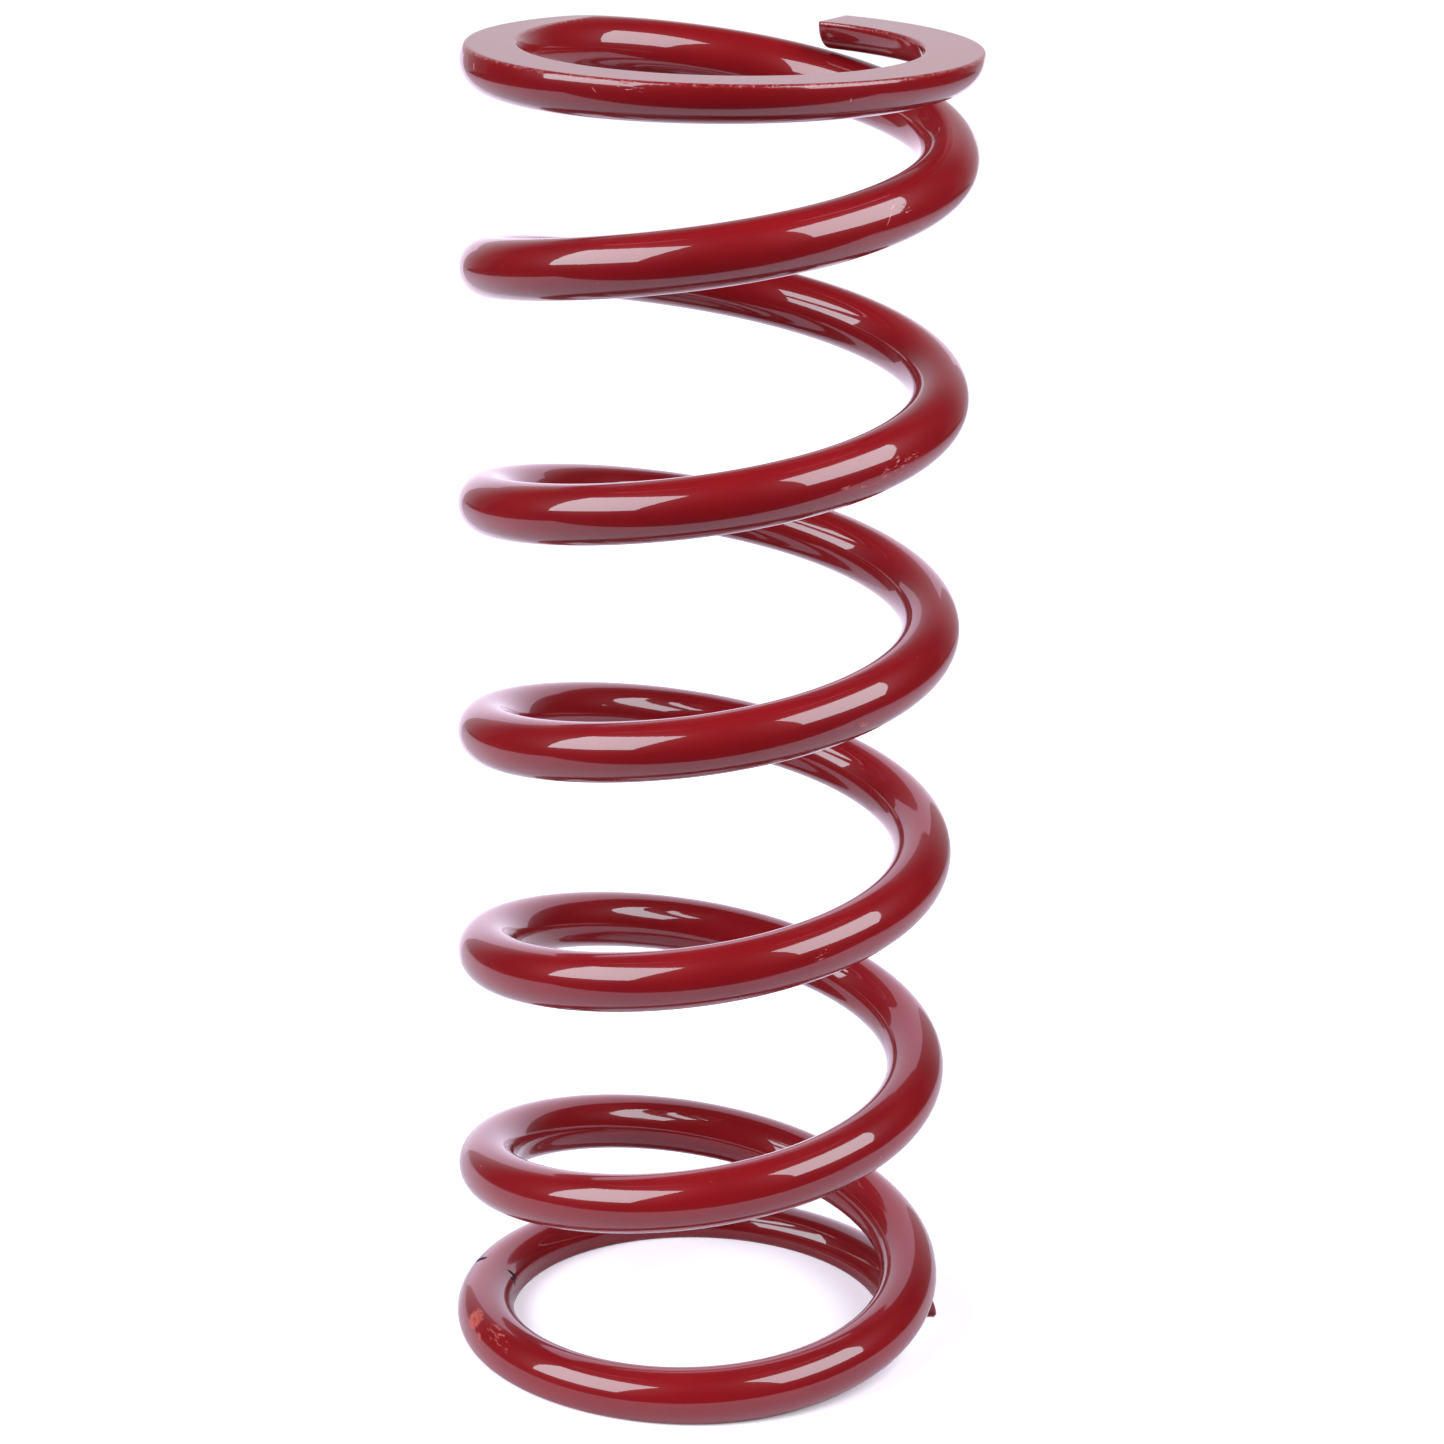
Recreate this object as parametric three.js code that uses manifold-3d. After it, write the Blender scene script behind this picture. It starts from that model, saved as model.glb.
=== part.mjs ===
// Coil-over compression spring: round wire wound right-handed, both ends closed and ground flat.
// The spring is one piece of wire. It is held here as successive lengths of that wire, so that the
// coils can close up on each other when the spring is pressed. Millimetres, +Z up the coil axis, with
// the origin on that axis in the plane of the lower ground face, and -Y towards the front.
import * as THREE from 'three';
import { mergeVertices } from 'three/addons/utils/BufferGeometryUtils.js';
import Module from 'manifold-3d';

const WIRE_DIAMETER = 8.9;
const COIL_MEAN_DIAMETER = 67.0;
const FREE_LENGTH = 203.2;
const TOTAL_TURNS = 7.1625;

// Winding. Angles run anticlockwise seen from above, from +X towards +Y.
const LOWER_TIP_ANGLE = THREE.MathUtils.degToRad(2.5);
const END_RISE_PER_TURN = 3.55;     // slow rise of the closed end coils
const RAMP_START_TURN = 0.58;       // where the rise starts to steepen, in turns from either tip
const RAMP_END_TURN = 1.06;         // where the full pitch is reached
const TIP_DEPTH = 0.1;              // wire centre at a tip lies this far inside the ground plane

// Lengths of wire.
const END_COIL_TURNS = 1.08;        // the closed coil at each end, up to where the wire starts to move
const SEAT_TURNS = 0.82;            // the ground flat runs out this far from the tip
const ACTIVE_LENGTHS = 32;          // the free coils between the two closed end coils
const JOINT_GAP = 0.36;             // air between two lengths of wire, on the wire's centre line

// Facets.
const WIRE_SIDES = 16;
const STEPS_PER_TURN = 31;
const OVERRUN_TURNS = 0.02;         // extra wire at each end of a length, trimmed off again

const COAT_COLOUR = 0x8e1822;
const COAT_ROUGHNESS = 0.16;
const COAT_METALNESS = 0.0;

const WIRE_RADIUS = WIRE_DIAMETER / 2;
const COIL_RADIUS = COIL_MEAN_DIAMETER / 2;
const TRIM_REACH = COIL_MEAN_DIAMETER;
const RAMP_TURNS = RAMP_END_TURN - RAMP_START_TURN;
const RAMP_MIDDLE = (RAMP_START_TURN + RAMP_END_TURN) / 2;
const ACTIVE_PITCH = (FREE_LENGTH - 2 * TIP_DEPTH - 2 * END_RISE_PER_TURN * RAMP_MIDDLE)
  / (TOTAL_TURNS - 2 * RAMP_MIDDLE);

const wasm = await Module();
wasm.setup();

// Turns spent at full pitch by the time the wire is `turn` turns from its tip, counting the smooth
// ramp as the part of a turn that it is worth.
function fullPitchTurns(turn) {
  if (turn <= RAMP_START_TURN) {
    return 0;
  }
  if (turn >= RAMP_END_TURN) {
    return turn - RAMP_MIDDLE;
  }
  const x = (turn - RAMP_START_TURN) / RAMP_TURNS;
  return RAMP_TURNS * (x ** 3 - x ** 4 / 2);
}

function heightFromTip(turn) {
  return TIP_DEPTH + END_RISE_PER_TURN * turn + (ACTIVE_PITCH - END_RISE_PER_TURN) * fullPitchTurns(turn);
}

function wireHeight(turn) {
  if (turn < TOTAL_TURNS / 2) {
    return heightFromTip(turn);
  }
  return FREE_LENGTH - heightFromTip(TOTAL_TURNS - turn);
}

function wireAngle(turn) {
  return LOWER_TIP_ANGLE + 2 * Math.PI * turn;
}

// Centre line of the wire between two places, both in turns from the lower tip.
class WireCurve extends THREE.Curve {
  constructor(fromTurn, toTurn) {
    super();
    this.fromTurn = fromTurn;
    this.toTurn = toTurn;
  }

  getPoint(t, target = new THREE.Vector3()) {
    const turn = THREE.MathUtils.lerp(this.fromTurn, this.toTurn, t);
    const angle = wireAngle(turn);
    return target.set(COIL_RADIUS * Math.cos(angle), COIL_RADIUS * Math.sin(angle), wireHeight(turn));
  }
}

function toSolid(geometry) {
  const bare = geometry.clone();
  bare.deleteAttribute('normal');
  bare.deleteAttribute('uv');
  const merged = mergeVertices(bare, 1e-5);
  return new wasm.Manifold(new wasm.Mesh({
    numProp: 3,
    vertProperties: new Float32Array(merged.attributes.position.array),
    triVerts: new Uint32Array(merged.index.array),
  }));
}

function toGeometry(solid) {
  const mesh = solid.getMesh();
  const geometry = new THREE.BufferGeometry();
  geometry.setAttribute('position', new THREE.BufferAttribute(new Float32Array(mesh.vertProperties), 3));
  geometry.setIndex(new THREE.BufferAttribute(new Uint32Array(mesh.triVerts), 1));
  geometry.computeVertexNormals();
  return geometry;
}

function roundWire(fromTurn, toTurn) {
  const section = new THREE.Shape();
  for (let i = 0; i < WIRE_SIDES; i += 1) {
    const angle = (2 * Math.PI * (i + 0.5)) / WIRE_SIDES;
    const x = WIRE_RADIUS * Math.cos(angle);
    const y = WIRE_RADIUS * Math.sin(angle);
    if (i === 0) {
      section.moveTo(x, y);
    } else {
      section.lineTo(x, y);
    }
  }
  section.closePath();
  return toSolid(new THREE.ExtrudeGeometry(section, {
    steps: Math.max(2, Math.round((toTurn - fromTurn) * STEPS_PER_TURN)),
    bevelEnabled: false,
    extrudePath: new WireCurve(fromTurn, toTurn),
  }));
}

// A full-height slice of space around the coil axis, between two radial planes.
function wedge(fromAngle, toAngle) {
  const outline = new THREE.Shape();
  outline.moveTo(0, 0);
  for (let i = 0; i <= 4; i += 1) {
    const angle = THREE.MathUtils.lerp(fromAngle, toAngle, i / 4);
    outline.lineTo(TRIM_REACH * Math.cos(angle), TRIM_REACH * Math.sin(angle));
  }
  outline.closePath();
  const geometry = new THREE.ExtrudeGeometry(outline, {
    steps: 1,
    depth: FREE_LENGTH + 2 * TRIM_REACH,
    bevelEnabled: false,
  });
  geometry.translate(0, 0, -TRIM_REACH);
  return toSolid(geometry);
}

function slabOutside(upper) {
  const slab = new THREE.BoxGeometry(4 * TRIM_REACH, 4 * TRIM_REACH, TRIM_REACH);
  slab.translate(0, 0, upper ? FREE_LENGTH + TRIM_REACH / 2 : -TRIM_REACH / 2);
  return toSolid(slab);
}

const grindAway = slabOutside(false).add(slabOutside(true));
const halfGapAngle = JOINT_GAP / 2 / COIL_RADIUS;

// A length with a joint face in a radial plane at both ends.
function innerLength(fromTurn, toTurn) {
  const wire = roundWire(fromTurn - OVERRUN_TURNS, toTurn + OVERRUN_TURNS);
  return wire
    .intersect(wedge(wireAngle(fromTurn) + halfGapAngle, wireAngle(toTurn) - halfGapAngle))
    .subtract(grindAway);
}

// The closed coil that carries a ground face: square-cut tip at one end, joint face at the other.
function seatLength(upper) {
  const from = upper ? TOTAL_TURNS - SEAT_TURNS - OVERRUN_TURNS : 0;
  const to = upper ? TOTAL_TURNS : SEAT_TURNS + OVERRUN_TURNS;
  const joint = wireAngle(upper ? TOTAL_TURNS - SEAT_TURNS : SEAT_TURNS);
  const beyond = 2 * Math.PI * OVERRUN_TURNS * 2;
  const trim = upper ? wedge(joint - beyond, joint + halfGapAngle) : wedge(joint - halfGapAngle, joint + beyond);
  return roundWire(from, to).subtract(trim).subtract(grindAway);
}

const spring = new THREE.Group();

function addLength(name, solid) {
  const material = new THREE.MeshStandardMaterial({
    color: COAT_COLOUR,
    roughness: COAT_ROUGHNESS,
    metalness: COAT_METALNESS,
  });
  const mesh = new THREE.Mesh(toGeometry(solid), material);
  mesh.name = name;
  spring.add(mesh);
}

addLength('lower_seat_coil', seatLength(false));
addLength('lower_closing_coil', innerLength(SEAT_TURNS, END_COIL_TURNS));

const activeTurns = TOTAL_TURNS - 2 * END_COIL_TURNS;
for (let i = 0; i < ACTIVE_LENGTHS; i += 1) {
  const from = END_COIL_TURNS + (activeTurns * i) / ACTIVE_LENGTHS;
  const to = END_COIL_TURNS + (activeTurns * (i + 1)) / ACTIVE_LENGTHS;
  addLength(`active_wire_${String(i + 1).padStart(2, '0')}`, innerLength(from, to));
}

addLength('upper_closing_coil', innerLength(TOTAL_TURNS - END_COIL_TURNS, TOTAL_TURNS - SEAT_TURNS));
addLength('upper_seat_coil', seatLength(true));

export default spring;
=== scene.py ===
"""A glossy red coil-over spring, standing on a pale floor in soft studio light.

Everything is in metres in the part's own frame: +Z up the coil axis, origin on the axis in the
plane of the lower ground face, -Y towards the front.
"""
import math

import bpy
import numpy as np
from mathutils import Matrix, Vector


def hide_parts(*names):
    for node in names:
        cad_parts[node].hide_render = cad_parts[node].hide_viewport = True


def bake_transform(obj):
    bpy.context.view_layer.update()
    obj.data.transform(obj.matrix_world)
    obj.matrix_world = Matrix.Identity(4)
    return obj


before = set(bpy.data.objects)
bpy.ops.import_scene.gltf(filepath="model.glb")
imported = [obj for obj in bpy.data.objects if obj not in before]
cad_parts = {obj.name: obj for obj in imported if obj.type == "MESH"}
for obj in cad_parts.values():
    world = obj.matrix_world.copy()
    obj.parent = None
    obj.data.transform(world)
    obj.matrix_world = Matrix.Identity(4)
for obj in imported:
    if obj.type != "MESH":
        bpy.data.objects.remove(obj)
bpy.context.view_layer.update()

# ------------------------------------------------ the spring's winding, as in the CAD
WIRE_R = 0.00445
COIL_R = 0.0335
LENGTH = 0.2032
TURNS = 7.1625
TIP_ANGLE = math.radians(2.5)
END_RISE = 0.00355  # per turn, in the closed coils
RAMP_START, RAMP_END = 0.58, 1.06  # where the closed coil lifts into the full pitch, in turns
TIP_DEPTH = 0.0001  # how far the wire's centre is inside the ground face at the tip
RAMP_MIDDLE = (RAMP_START + RAMP_END) / 2
PITCH = (LENGTH - 2 * TIP_DEPTH - 2 * END_RISE * RAMP_MIDDLE) / (TURNS - 2 * RAMP_MIDDLE)

# ------------------------------------------------ what the photo shows besides: only in the looks
END_SPREAD = 0.00045  # how much wider the lower end coil is wound; the upper one half as much
SPREAD_START, SPREAD_END = 0.30, 0.95  # where that goes back to nothing, in turns from the tip
BOW = 0.00034  # how far the middle coils stand off the axis, towards -X

# where the wire starts to give, in turns from either tip, and where it gives its full share
GIVE_START, GIVE_END = 0.86, 1.30

SLOPE_STEP = 1e-4  # half the span over which slopes along the wire are measured, in turns


def ramp_integral(turn, start, end):
    """Integral of a smooth 0-to-1 step between two places, from the tip to `turn`."""
    x = np.clip((turn - start) / (end - start), 0, 1)
    inside = (end - start) * (x**3 - x**4 / 2)
    return inside + np.maximum(turn - end, 0)


def smooth_step(value, start, end):
    x = min(1.0, max(0.0, (value - start) / (end - start)))
    return x * x * (3 - 2 * x)


def height_from_tip(turn):
    ramp = ramp_integral(turn, RAMP_START, RAMP_END)
    return TIP_DEPTH + END_RISE * turn + (PITCH - END_RISE) * ramp


def wire_height(turn):
    lower, upper = height_from_tip(turn), LENGTH - height_from_tip(TURNS - turn)
    return np.where(turn < TURNS / 2, lower, upper)


def share_of_travel(turn):
    """How far a place on the wire moves when the upper end moves by 1."""
    half = TURNS / 2
    whole = 2 * ramp_integral(half, GIVE_START, GIVE_END)
    below = ramp_integral(np.minimum(turn, half), GIVE_START, GIVE_END)
    above = ramp_integral(np.minimum(TURNS - turn, half), GIVE_START, GIVE_END)
    return np.where(turn < half, below, whole - above) / whole


def rise_per_turn(height, turn):
    return (height(turn + SLOPE_STEP) - height(turn - SLOPE_STEP)) / (2 * SLOPE_STEP)


# ------------------------------------------------ the wire's section
SIDES = 56
HALF = SIDES // 2
FLAT_PLACES = (0.0, 0.42, 0.78)  # points on the ground flat, from its middle to its edge
EDGE_POINTS = 4  # along the rounded edge
EDGE_ROUNDING = 0.00042
LEAST_CUT = math.radians(14)  # a flat narrower than this, seen from the centre, isn't drawn
FULL_EDGE_CUT = math.radians(25)  # how much more of a flat has the full edge rounding
LEAST_ROUNDING = 1e-5
SUPPORT = 0.00014  # between the last point on the flat and its rounded edge
EVEN_START, EVEN_END = 0.86, 1.36  # where the points spread out evenly, in turns from the tip
FLAT_TOLERANCE = 2e-5
WEAR_AND_SPARKLE_WIDTH = 0.0011  # how far the edge wear and its painted sparkle of light reach from the edge of the ground face
WEAR_AND_SPARKLE_FADE = 0.001  # half width of a flat at which the edge wear and its painted sparkle are complete


def half_section(depth_cut, even):
    """Half of a section from the middle of its underside to its top, x outwards and y up.

    depth_cut is the height of the ground plane in the section (below -WIRE_R where it misses it).
    even runs from 0, points gathered at the flat, to 1, points spread evenly round the circle.
    """
    cut = math.acos(max(-1.0, min(1.0, -depth_cut / WIRE_R))) if depth_cut > -WIRE_R else 0.0
    cut_used = max(cut, LEAST_CUT)
    corner = np.array([math.sin(cut_used), -math.cos(cut_used)]) * WIRE_R
    rounding = EDGE_ROUNDING * min(1.0, max(0.0, (cut - LEAST_CUT) / FULL_EDGE_CUT))
    rounding = max(rounding, LEAST_ROUNDING)
    arc_start = cut_used + rounding / WIRE_R
    reach = corner[0] - rounding
    last = 1 - min(SUPPORT, 0.15 * reach) / reach
    points = [(share * reach, corner[1]) for share in FLAT_PLACES + (last,)]
    start = np.array([reach, corner[1]])
    end = np.array([math.sin(arc_start), -math.cos(arc_start)]) * WIRE_R
    for i in range(EDGE_POINTS):
        k = i / (EDGE_POINTS - 1)
        points.append(tuple((1 - k) ** 2 * start + 2 * k * (1 - k) * corner + k * k * end))
    rest = HALF - len(points) + 1
    for i in range(1, rest + 1):
        angle = arc_start + (math.pi - arc_start) * i / rest
        points.append((math.sin(angle) * WIRE_R, -math.cos(angle) * WIRE_R))
    points = np.array(points)
    if cut <= LEAST_CUT:
        gathered = np.arctan2(points[:, 0], -points[:, 1])
        spread = np.linspace(0, math.pi, HALF + 1)
        angle = gathered * (1 - even) + spread * even
        points = np.stack([np.sin(angle), -np.cos(angle)], 1) * WIRE_R
        if depth_cut > -WIRE_R:
            points[:, 1] = np.maximum(points[:, 1], depth_cut)
    points[0, 0] = points[-1, 0] = 0.0
    return points


def section(turn):
    """(points, on the flat, at its edge) round the wire's section at a place on the wire."""
    upper = turn > TURNS / 2
    from_tip = TURNS - turn if upper else turn
    slope = rise_per_turn(height_from_tip, from_tip) / (2 * math.pi * COIL_R)
    lean = 1 / math.sqrt(1 + slope * slope)
    depth_cut = -float(height_from_tip(from_tip)) / lean
    right = half_section(depth_cut, smooth_step(from_tip, EVEN_START, EVEN_END))
    left = right[1:-1][::-1] * (-1, 1)
    points = np.concatenate([right, left])
    above = points[:, 1] - depth_cut
    flat = np.clip(1 - above / FLAT_TOLERANCE, 0, 1) * (depth_cut > -WIRE_R)
    corner = math.sqrt(max(0.0, WIRE_R**2 - min(abs(depth_cut), WIRE_R) ** 2))
    away = np.hypot(np.abs(points[:, 0]) - corner, above)
    # the band along the ground face's edge that is painted paler: edge wear, and also a painted
    # sparkle of light on that edge
    edge = np.clip(1 - away / WEAR_AND_SPARKLE_WIDTH, 0, 1) * min(1.0, corner / WEAR_AND_SPARKLE_FADE)
    if upper:
        order = (HALF - np.arange(SIDES)) % SIDES
        points = points[order] * (1, -1)
        flat, edge = flat[order], edge[order]
    return points, flat, edge


def inset(points, amount):
    """Moves a section's outline inwards."""
    ahead, behind = np.roll(points, -1, 0), np.roll(points, 1, 0)
    along = ahead - behind
    along /= np.maximum(np.linalg.norm(along, axis=1), 1e-9)[:, None]
    outward = np.stack([along[:, 1], -along[:, 0]], 1)
    return points - outward * np.reshape(amount, (-1, 1))


# ------------------------------------------------ the wire's mesh
RING_STEP = 0.0014
TIP_ROUNDING = 0.00055
TIP_BENDS = (90, 67.5, 45, 22.5)  # degrees round the rounded edge of the tip's end face
TIP_FACE_INSET = 0.0003  # from that edge to one more ring in the end face
FLAT_HOLDS = 0.7  # how much less the ground flat is drawn in at the tip than the round sides


def wire_frame(turn):
    """(centre, outwards, upwards, length of a turn) at a place on the wire."""
    angle = TIP_ANGLE + 2 * math.pi * turn
    rise = float(rise_per_turn(wire_height, turn)) / (2 * math.pi)
    out = np.array([math.cos(angle), math.sin(angle), 0.0])
    along = np.array([-math.sin(angle) * COIL_R, math.cos(angle) * COIL_R, rise])
    speed = np.linalg.norm(along)
    up = np.cross(out, along / speed)
    height = float(wire_height(turn))
    radius = COIL_R + END_SPREAD * (1 - smooth_step(turn, SPREAD_START, SPREAD_END))
    radius += END_SPREAD * 0.5 * smooth_step(turn, TURNS - SPREAD_END, TURNS - SPREAD_START)
    bow = np.array([-BOW * math.sin(math.pi * height / LENGTH), 0, height])
    return out * radius + bow, out, up, speed * 2 * math.pi


def wire_places():
    """(turn, how far the section is drawn in) for each ring of the mesh, from tip to tip."""
    steps = int(TURNS * math.hypot(2 * math.pi * COIL_R, PITCH) / RING_STEP)
    tip_turns = TIP_ROUNDING / (2 * math.pi * COIL_R)
    tip = [(0.0, TIP_ROUNDING + TIP_FACE_INSET)]
    for bend in TIP_BENDS:
        a = math.radians(bend)
        tip.append((tip_turns * (1 - math.sin(a)), TIP_ROUNDING * (1 - math.cos(a))))
    middle = [(turn, 0.0) for turn in np.linspace(tip_turns, TURNS - tip_turns, steps)]
    return tip + middle + [(TURNS - turn, inward) for turn, inward in tip[::-1]]


def build_wire():
    """(object, each point's share of the travel, function from a turn to the length of wire)"""
    places = wire_places()
    co, straight, edge_wear_and_sparkle, share, lengths = [], [], [], [], []
    length, last = 0.0, None
    for turn, inward in places:
        points, flat, edge = section(min(max(turn, 1e-5), TURNS - 1e-5))
        if inward:
            points = inset(points, inward * (1 - FLAT_HOLDS * flat))
        centre, out, up, per_turn = wire_frame(turn)
        length += 0.0 if last is None else (turn - last) * per_turn
        last = turn
        lengths.append(length)
        ring = centre + points[:, :1] * out + points[:, 1:] * up
        ring[:, 2] = np.clip(ring[:, 2], 0.0, LENGTH)
        co.append(ring)
        straight.append(np.column_stack([points, np.full(SIDES, length)]))
        edge_wear_and_sparkle.append(edge)
        share.append(np.full(SIDES, float(share_of_travel(turn))))
    rings = len(places)
    faces = []
    for near in range(0, (rings - 1) * SIDES, SIDES):
        far = near + SIDES
        for i in range(SIDES):
            j = (i + 1) % SIDES
            faces.append((near + i, near + j, far + j, far + i))
    co, straight, edge_wear_and_sparkle, share = (np.concatenate(each) for each in (co, straight, edge_wear_and_sparkle, share))
    for ring, backwards in ((0, True), (rings - 1, False)):
        ids = np.arange(ring * SIDES, (ring + 1) * SIDES)
        middle = len(co)
        co = np.vstack([co, co[ids].mean(0)])
        straight = np.vstack([straight, straight[ids].mean(0)])
        edge_wear_and_sparkle = np.append(edge_wear_and_sparkle, 0.0)
        share = np.append(share, share[ids[0]])
        for i in range(SIDES):
            a, b = ids[i], ids[(i + 1) % SIDES]
            faces.append((b, a, middle) if backwards else (a, b, middle))

    mesh = bpy.data.meshes.new("spring_wire")
    mesh.from_pydata([tuple(v) for v in co], [], [tuple(int(i) for i in f) for f in faces])
    mesh.polygons.foreach_set("use_smooth", [True] * len(mesh.polygons))
    vector = mesh.attributes.new("straight", "FLOAT_VECTOR", "POINT")
    vector.data.foreach_set("vector", straight.astype(np.float32).ravel())
    # how near a point is to the ground face's edge; the coat paints wear and a sparkle of light
    # there
    value = mesh.attributes.new("ground_edge", "FLOAT", "POINT")
    value.data.foreach_set("value", edge_wear_and_sparkle.astype(np.float32))
    mesh.update()
    wire = bpy.data.objects.new("spring_wire", mesh)
    bpy.context.scene.collection.objects.link(wire)
    turns = [turn for turn, inward in places]
    return wire, share, lambda turn: float(np.interp(turn, turns, lengths))


# ------------------------------------------------ materials
def new_material(name):
    material = bpy.data.materials.new(name)
    material.use_nodes = True
    nodes, links = material.node_tree.nodes, material.node_tree.links
    nodes.clear()
    shader = nodes.new("ShaderNodeBsdfPrincipled")
    output = nodes.new("ShaderNodeOutputMaterial")
    links.new(shader.outputs[0], output.inputs[0])
    return material, nodes, links, shader


COAT_RED = (0.205, 0.0042, 0.0068, 1)
COAT_RED_DEEP = (0.178, 0.0036, 0.0058, 1)
RUBBED_RED = (0.52, 0.105, 0.075, 1)
PALE_RED = (0.58, 0.20, 0.18, 1)
NICK_DARK = (0.012, 0.006, 0.012, 1)

# scales of noise and of grids of points, in cells per metre
TONE_SCALE = 90
PEEL_SCALE = 330
PATCH_SCALE = 1400
RAGGED_SCALE = 1500
GRAIN_SCALE = 2300
ROUGH_SCALE = 2400
GRAIN_STRETCH = 0.35  # of the scuffs' grain along the wire
# (grid scale, radius, share of cells without one)
SPECKS = (210, 0.00014, 0.80)
NIBS = (330, 0.00016, 0.86)

# how strongly each mark takes on its colour
# the edge tint is paler wear on the ground face's edge and also a painted sparkle of light there
NIB_TINT, EDGE_WEAR_AND_SPARKLE_TINT, SCUFF_TINT, PALE_TINT = 0.30, 0.45, 0.60, 0.50
RUB_TINT = (0.80, 0.35)  # in its patches, from full to thin
RUB_BARES = 0.6  # how much of the clear coat is gone in a rub

PEEL_HEIGHT = 0.000010
NIB_HEIGHT = 0.000022
RUN_HEIGHT = 6.0  # times a nib's
WORN_EDGE_HEIGHT = 0.000022
DAMAGE_DEPTH = 0.00006
GLOSS_ROUGHNESS, DULL_ROUGHNESS = 0.36, 0.60
MARK_DEPTH = 0.0015  # how far a mark reaches into and out of the wire's surface
COAT_IOR, COAT_ROUGHNESS = 1.5, 0.035
UNDERCOAT_IOR, UNDERCOAT_SPECULAR = 1.45, 0.12

# Each mark: (turn, degrees round the section from its outer side, half length along the wire in
# mm, half length round it in mm, slant in degrees, raggedness)
RUBS = [
    (0.549, 44, 1.95, 1.60, 15, 1.1),
    (0.566, 27, 0.90, 0.35, 20, 1.3),
    (6.543, 12, 0.55, 0.20, 75, 0.8),
    (6.557, 7, 0.50, 0.18, 70, 1.0),
    (6.549, -14, 0.40, 0.22, 20, 1.2),
]
SCUFFS = [
    (0.583, 49, 3.80, 1.30, 12, 1.2),
    (4.870, 1, 4.20, 1.35, -4, 1.0),
    (4.838, -8, 4.00, 0.45, 4, 1.4),
    (3.846, -16, 1.30, 0.60, 30, 1.2),
    (5.866, 22, 1.60, 0.60, 40, 1.5),
    (6.690, 12, 2.20, 0.70, 10, 1.2),
    (1.300, -20, 2.00, 0.60, 25, 1.5),
    (2.820, 10, 1.60, 0.50, -30, 1.5),
]
PALE_MARKS = [
    (5.853, 12, 1.00, 0.09, -55, 0.6),
    (5.858, 30, 0.80, 0.08, -35, 0.6),
    (6.821, -15, 0.11, 0.36, 0, 0.5),
    (6.668, 2, 0.50, 0.10, 50, 0.6),
    (2.271, 5, 0.22, 0.16, 0, 0.5),
    (1.562, 40, 0.18, 0.16, 0, 0.5),
]
NICKS = [
    (0.4565, 55, 0.75, 1.05, 30, 0.3),
    (0.4580, 67, 0.55, 0.60, -20, 0.3),
    (0.4665, 143, 0.45, 1.35, -14, 0.3),
    (0.4710, 154, 0.38, 0.95, 50, 0.3),
    (0.4730, 146, 0.50, 0.30, 30, 0.3),
]
RUN = (5.981, 121, 3.2, 0.50, 12, 0.3)


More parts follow.
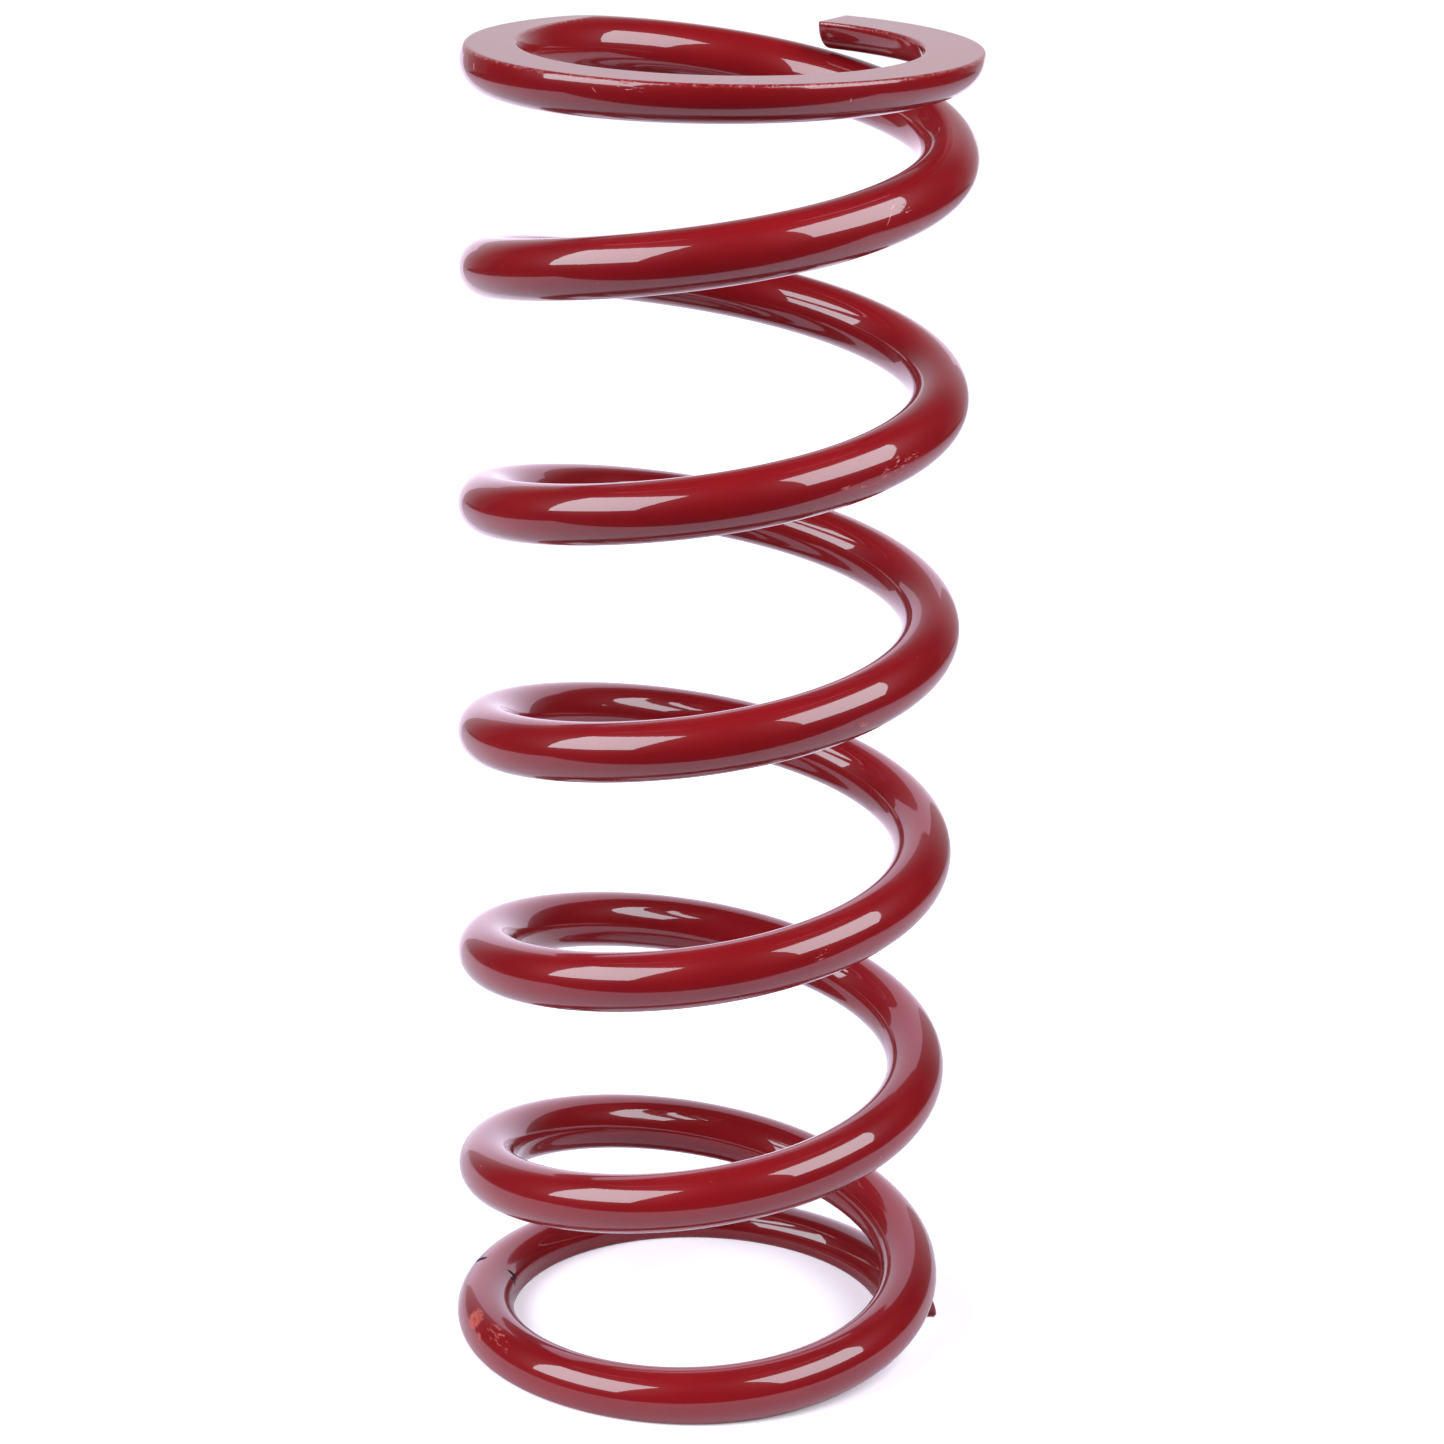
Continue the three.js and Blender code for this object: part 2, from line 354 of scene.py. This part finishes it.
def coat_material(arc_length):
    """Gloss red powder coat: even colour, faint orange peel, dust nibs, the marks of handling, and
    a pale grainy ground edge that is partly wear and partly a painted sparkle of light.
    """
    material, nodes, links, shader = new_material("powder_coat")
    place = nodes.new("ShaderNodeAttribute")
    place.attribute_name = "straight"  # across, up and along the wire, as if it lay straight

    def noise(scale, detail=2.0, rough=0.5, where=None):
        node = nodes.new("ShaderNodeTexNoise")
        node.inputs["Scale"].default_value = scale
        node.inputs["Detail"].default_value = detail
        node.inputs["Roughness"].default_value = rough
        links.new(where or place.outputs["Vector"], node.inputs["Vector"])
        return node.outputs["Fac"]

    def math_node(operation, *values):
        node = nodes.new("ShaderNodeMath")
        node.operation = operation
        for socket, value in zip(node.inputs, values):
            if isinstance(value, (int, float)):
                socket.default_value = value
            else:
                links.new(value, socket)
        return node.outputs[0]

    def ramp(value, low, high, to_low=0.0, to_high=1.0):
        node = nodes.new("ShaderNodeMapRange")
        node.interpolation_type = "SMOOTHSTEP"
        links.new(value, node.inputs["Value"])
        numbers = {"From Min": low, "From Max": high, "To Min": to_low, "To Max": to_high}
        for name, number in numbers.items():
            node.inputs[name].default_value = number
        return node.outputs["Result"]

    def mix(factor, first, second):
        node = nodes.new("ShaderNodeMix")
        node.data_type = "RGBA"
        links.new(factor, node.inputs["Factor"])
        for name, value in (("A", first), ("B", second)):
            socket = next(i for i in node.inputs if i.name == name and i.type == "RGBA")
            if isinstance(value, tuple):
                socket.default_value = value
            else:
                links.new(value, socket)
        return next(o for o in node.outputs if o.type == "RGBA")

    ragged = math_node("SUBTRACT", noise(RAGGED_SCALE, 3, 0.65), 0.5)

    def mark(turn, degrees, along, around, slant, raggedness):
        """1 inside an uneven ellipse on the wire, 0 outside it."""
        angle = math.radians(degrees)
        spot = nodes.new("ShaderNodeMapping")
        spot.vector_type = "TEXTURE"
        spot.inputs["Location"].default_value = (
            WIRE_R * math.cos(angle), WIRE_R * math.sin(angle), arc_length(turn),
        )
        spot.inputs["Rotation"].default_value = (math.radians(slant), 0, angle)
        spot.inputs["Scale"].default_value = (MARK_DEPTH, around * 0.001, along * 0.001)
        links.new(place.outputs["Vector"], spot.inputs["Vector"])
        length = nodes.new("ShaderNodeVectorMath")
        length.operation = "LENGTH"
        links.new(spot.outputs[0], length.inputs[0])
        uneven = math_node("MULTIPLY_ADD", ragged, raggedness, length.outputs["Value"])
        return ramp(uneven, 0.75, 1.05, 1.0, 0.0)

    def any_of(marks):
        total = mark(*marks[0])
        for each in marks[1:]:
            total = math_node("MAXIMUM", total, mark(*each))
        return total

    def flecks(scale, size, keep):
        """Tiny dots, one in a few of the cells of a grid of random points."""
        cells = nodes.new("ShaderNodeTexVoronoi")
        cells.inputs["Scale"].default_value = scale
        links.new(place.outputs["Vector"], cells.inputs["Vector"])
        split = nodes.new("ShaderNodeSeparateColor")
        links.new(cells.outputs["Color"], split.inputs[0])
        chosen = ramp(split.outputs[0], keep - 0.02, keep)
        dot = ramp(cells.outputs["Distance"], size * scale * 0.5, size * scale, 1.0, 0.0)
        return math_node("MULTIPLY", chosen, dot)

    # pale grain along the ground face's edge: wear of the coat, and also a painted sparkle of
    # light on that edge
    edge = nodes.new("ShaderNodeAttribute")
    edge.attribute_name = "ground_edge"
    near_edge = ramp(edge.outputs["Fac"], 0.45, 0.85)
    edge_wear_and_painted_sparkle = math_node("MULTIPLY", near_edge, ramp(noise(GRAIN_SCALE, 2, 0.7), 0.48, 0.66))

    lengthwise = nodes.new("ShaderNodeMapping")
    lengthwise.inputs["Scale"].default_value = (1.0, 1.0, GRAIN_STRETCH)
    links.new(place.outputs["Vector"], lengthwise.inputs["Vector"])
    grains = ramp(noise(GRAIN_SCALE, 2, 0.6, lengthwise.outputs[0]), 0.53, 0.67)
    scuffs = math_node("MULTIPLY", any_of(SCUFFS), grains)
    rubs = any_of(RUBS)
    pale = math_node("MAXIMUM", any_of(PALE_MARKS), flecks(*SPECKS))
    nicks = any_of(NICKS)
    nibs = flecks(*NIBS)
    run = mark(*RUN)

    tone = nodes.new("ShaderNodeValToRGB")
    tone.color_ramp.elements[0].position = 0.3
    tone.color_ramp.elements[0].color = COAT_RED_DEEP
    tone.color_ramp.elements[1].position = 0.7
    tone.color_ramp.elements[1].color = COAT_RED
    links.new(noise(TONE_SCALE, 3), tone.inputs[0])
    patches = ramp(noise(PATCH_SCALE, 3, 0.6), 0.35, 0.65, *RUB_TINT)
    colour = mix(math_node("MULTIPLY", nibs, NIB_TINT), tone.outputs[0], RUBBED_RED)
    # pale red along the ground edge: edge wear and a painted sparkle of light
    colour = mix(math_node("MULTIPLY", edge_wear_and_painted_sparkle, EDGE_WEAR_AND_SPARKLE_TINT), colour, PALE_RED)
    colour = mix(math_node("MULTIPLY", scuffs, SCUFF_TINT), colour, RUBBED_RED)
    colour = mix(math_node("MULTIPLY", rubs, patches), colour, RUBBED_RED)
    colour = mix(math_node("MULTIPLY", pale, PALE_TINT), colour, PALE_RED)
    colour = mix(nicks, colour, NICK_DARK)
    links.new(colour, shader.inputs["Base Color"])

    def bump(height, distance, before=None):
        node = nodes.new("ShaderNodeBump")
        node.inputs["Strength"].default_value = 1.0
        node.inputs["Distance"].default_value = distance
        links.new(height, node.inputs["Height"])
        if before is not None:
            links.new(before, node.inputs["Normal"])
        return node.outputs[0]

    relief = bump(noise(PEEL_SCALE, 1.5), PEEL_HEIGHT)
    raised = math_node("ADD", nibs, math_node("MULTIPLY", run, RUN_HEIGHT))
    relief = bump(raised, NIB_HEIGHT, relief)
    relief = bump(edge_wear_and_painted_sparkle, WORN_EDGE_HEIGHT, relief)
    rough = math_node("MULTIPLY", math_node("MAXIMUM", rubs, scuffs), noise(ROUGH_SCALE, 3, 0.7))
    damage = math_node("MAXIMUM", rough, nicks)
    relief = bump(math_node("SUBTRACT", 1.0, damage), DAMAGE_DEPTH, relief)
    links.new(relief, shader.inputs["Normal"])
    links.new(relief, shader.inputs["Coat Normal"])

    dull = math_node("MAXIMUM", rubs, nicks)
    roughness = ramp(dull, 0.0, 1.0, GLOSS_ROUGHNESS, DULL_ROUGHNESS)
    links.new(roughness, shader.inputs["Roughness"])
    bare = math_node("MAXIMUM", math_node("MULTIPLY", rubs, RUB_BARES), nicks)
    links.new(math_node("SUBTRACT", 1.0, bare), shader.inputs["Coat Weight"])
    shader.inputs["IOR"].default_value = UNDERCOAT_IOR
    shader.inputs["Specular IOR Level"].default_value = UNDERCOAT_SPECULAR
    shader.inputs["Coat Roughness"].default_value = COAT_ROUGHNESS
    shader.inputs["Coat IOR"].default_value = COAT_IOR
    return material


# ------------------------------------------------ the camera
CAMERA_AWAY = 17.459 * COIL_R
CAMERA_HEIGHT = 8.590 * COIL_R
CAMERA_ASIDE = 0.0664 * COIL_R
CAMERA_DOWN = 0.3104
CAMERA_ROLL = 0.0206
CAMERA_LENS, CAMERA_SENSOR = 100.37, 36
CAMERA_SHIFT = -0.0012


def add_camera():
    data = bpy.data.cameras.new("camera")
    data.sensor_width = CAMERA_SENSOR
    data.lens = CAMERA_LENS
    data.shift_x = CAMERA_SHIFT
    data.clip_start, data.clip_end = 0.01, 50
    camera = bpy.data.objects.new("camera", data)
    bpy.context.scene.collection.objects.link(camera)
    forward = Vector((0, math.cos(CAMERA_DOWN), -math.sin(CAMERA_DOWN)))
    level = Vector((1, 0, 0))
    above = level.cross(forward)
    right = level * math.cos(CAMERA_ROLL) + above * math.sin(CAMERA_ROLL)
    up = above * math.cos(CAMERA_ROLL) - level * math.sin(CAMERA_ROLL)
    turn = Matrix((right, up, -forward)).transposed().to_4x4()
    place = Matrix.Translation((CAMERA_ASIDE, -CAMERA_AWAY, CAMERA_HEIGHT))
    camera.matrix_world = place @ turn
    bpy.context.scene.camera = camera


# ------------------------------------------------ table top, card, backdrop and light
TABLE_LEFT, TABLE_RIGHT, TABLE_FRONT, TABLE_BACK = -0.52, 0.52, -0.165, 0.80
TABLE_HEIGHT = -0.00002
TABLE_ALBEDO = (0.86, 0.76, 0.85, 1)
TABLE_GLOW = ("Y", 0.02, 0.30, 0.31, 0.80)

BACKDROP_LEFT, BACKDROP_RIGHT, BACKDROP_TOP = -1.3, 1.3, 1.3
BACKDROP_COLOUR = (0.98, 0.93, 1.03, 1)
BACKDROP_GLOW = (
    ("X", -1.05, 0.0, 0.15, 1.0),
    ("X", 0.0, 1.05, 1.0, 0.15),
    ("Z", 0.30, 0.95, 0.83, 0.15),
)

CARD_LEFT, CARD_RIGHT, CARD_BACK, CARD_TOP = -0.106, 0.084, 0.137, 0.197
CARD_COLOUR = (1.05, 0.92, 1.15, 1)
CARD_GLOW = 1.32

# (name, azimuth, elevation, distance, width, height, roll, brightness); azimuth 0 is the front,
# 90 is +X
SOFTBOXES = [
    ("softbox_left", -62.8, 37.3, 1.18, 0.96, 0.86, 5.5, 8.6),
    ("softbox_right", 60.9, 42.6, 0.54, 0.415, 0.395, -5.5, 8.2),
]
SOFTBOX_COLOUR = (0.87, 0.97, 1.05)

BACKGROUND_WHITE = 1.05
ROOM_COLOUR, ROOM_STRENGTH = (0.30, 0.30, 0.32, 1), 0.10


def paper(name, albedo, glow_colour, glow):
    """A dull material with this glow, and its node tree's parts."""
    material, nodes, links, shader = new_material(name)
    shader.inputs["Base Color"].default_value = albedo
    shader.inputs["Roughness"].default_value = 0.9
    shader.inputs["Specular IOR Level"].default_value = 0.0
    shader.inputs["Emission Color"].default_value = glow_colour
    shader.inputs["Emission Strength"].default_value = glow
    return material, nodes, links, shader


def flat_panel(name, corners, material):
    mesh = bpy.data.meshes.new(name)
    mesh.from_pydata(corners, [], [(0, 1, 2, 3)])
    panel = bpy.data.objects.new(name, mesh)
    panel.data.materials.append(material)
    bpy.context.scene.collection.objects.link(panel)
    return panel


def upright_panel(name, x0, x1, y, top, material):
    corners = [(x0, y, 0), (x1, y, 0), (x1, y, top), (x0, y, top)]
    return flat_panel(name, corners, material)


def faded(nodes, links, axis, start, end, first, last):
    """A value that goes smoothly from `first` to `last` between two places along an axis."""
    place = nodes.new("ShaderNodeTexCoord")
    split = nodes.new("ShaderNodeSeparateXYZ")
    fade = nodes.new("ShaderNodeMapRange")
    fade.interpolation_type = "SMOOTHSTEP"
    numbers = {"From Min": start, "From Max": end, "To Min": first, "To Max": last}
    for name, number in numbers.items():
        fade.inputs[name].default_value = number
    links.new(place.outputs["Object"], split.inputs[0])
    links.new(split.outputs[axis], fade.inputs["Value"])
    return fade.outputs["Result"]


def product(nodes, links, first, second):
    node = nodes.new("ShaderNodeMath")
    node.operation = "MULTIPLY"
    links.new(first, node.inputs[0])
    links.new(second, node.inputs[1])
    return node.outputs[0]


def add_floor():
    """A pale table top. Seen directly it glows, as overlit paper does, but it lights nothing."""
    material, nodes, links, shader = paper("floor_paper", TABLE_ALBEDO, (1, 1, 1, 1), 0.0)
    path = nodes.new("ShaderNodeLightPath")
    glow = product(nodes, links, faded(nodes, links, *TABLE_GLOW), path.outputs["Is Camera Ray"])
    links.new(glow, shader.inputs["Emission Strength"])
    corners = [
        (TABLE_LEFT, TABLE_FRONT, TABLE_HEIGHT), (TABLE_RIGHT, TABLE_FRONT, TABLE_HEIGHT),
        (TABLE_RIGHT, TABLE_BACK, TABLE_HEIGHT), (TABLE_LEFT, TABLE_BACK, TABLE_HEIGHT),
    ]
    return flat_panel("floor", corners, material)


def add_backdrop():
    """Paper upright behind the table top, brightest low in the middle. Only the object sees it."""
    material, nodes, links, shader = paper("backdrop_paper", (0, 0, 0, 1), BACKDROP_COLOUR, 0.0)
    glow = faded(nodes, links, *BACKDROP_GLOW[0])
    for fade in BACKDROP_GLOW[1:]:
        glow = product(nodes, links, glow, faded(nodes, links, *fade))
    links.new(glow, shader.inputs["Emission Strength"])
    wall = upright_panel(
        "backdrop", BACKDROP_LEFT, BACKDROP_RIGHT, TABLE_BACK, BACKDROP_TOP, material
    )
    wall.visible_camera = False
    return wall


def add_card():
    """A white card close behind the object and nearly as tall. It shows only as a reflection."""
    material = paper("card_paper", (0, 0, 0, 1), CARD_COLOUR, CARD_GLOW)[0]
    card = upright_panel("card", CARD_LEFT, CARD_RIGHT, CARD_BACK, CARD_TOP, material)
    card.visible_camera = card.visible_diffuse = card.visible_shadow = False
    return card


def add_softbox(name, azimuth, elevation, distance, width, height, roll, brightness):
    """A rectangular lamp facing the middle of the spring."""
    data = bpy.data.lights.new(name, "AREA")
    data.shape = "RECTANGLE"
    data.size, data.size_y = width, height
    data.color = SOFTBOX_COLOUR
    data.energy = brightness * math.pi * width * height
    lamp = bpy.data.objects.new(name, data)
    bpy.context.scene.collection.objects.link(lamp)
    a, e = math.radians(azimuth), math.radians(elevation)
    target = Vector((0, 0, LENGTH / 2))
    back = Vector((math.sin(a) * math.cos(e), -math.cos(a) * math.cos(e), math.sin(e)))
    lamp.matrix_world = (
        Matrix.Translation(target + back * distance)
        @ back.to_track_quat("Z", "Y").to_matrix().to_4x4()
        @ Matrix.Rotation(math.radians(roll), 4, "Z")
    )


def set_world():
    """White where the camera looks past everything, and a dark room for all else."""
    world = bpy.data.worlds.new("studio")
    bpy.context.scene.world = world
    world.use_nodes = True
    nodes, links = world.node_tree.nodes, world.node_tree.links
    nodes.clear()
    seen = nodes.new("ShaderNodeBackground")
    seen.inputs["Color"].default_value = (1, 1, 1, 1)
    seen.inputs["Strength"].default_value = BACKGROUND_WHITE
    room = nodes.new("ShaderNodeBackground")
    room.inputs["Color"].default_value = ROOM_COLOUR
    room.inputs["Strength"].default_value = ROOM_STRENGTH
    path = nodes.new("ShaderNodeLightPath")
    mix = nodes.new("ShaderNodeMixShader")
    output = nodes.new("ShaderNodeOutputWorld")
    links.new(path.outputs["Is Camera Ray"], mix.inputs[0])
    links.new(room.outputs[0], mix.inputs[1])
    links.new(seen.outputs[0], mix.inputs[2])
    links.new(mix.outputs[0], output.inputs[0])


# ------------------------------------------------ putting it together
add_camera()
wire, share, arc_length = build_wire()
wire.data.materials.append(coat_material(arc_length))
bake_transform(wire)
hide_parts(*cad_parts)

add_floor()
add_backdrop()
add_card()
for softbox in SOFTBOXES:
    add_softbox(*softbox)
set_world()
bpy.context.scene.view_settings.view_transform = "Standard"
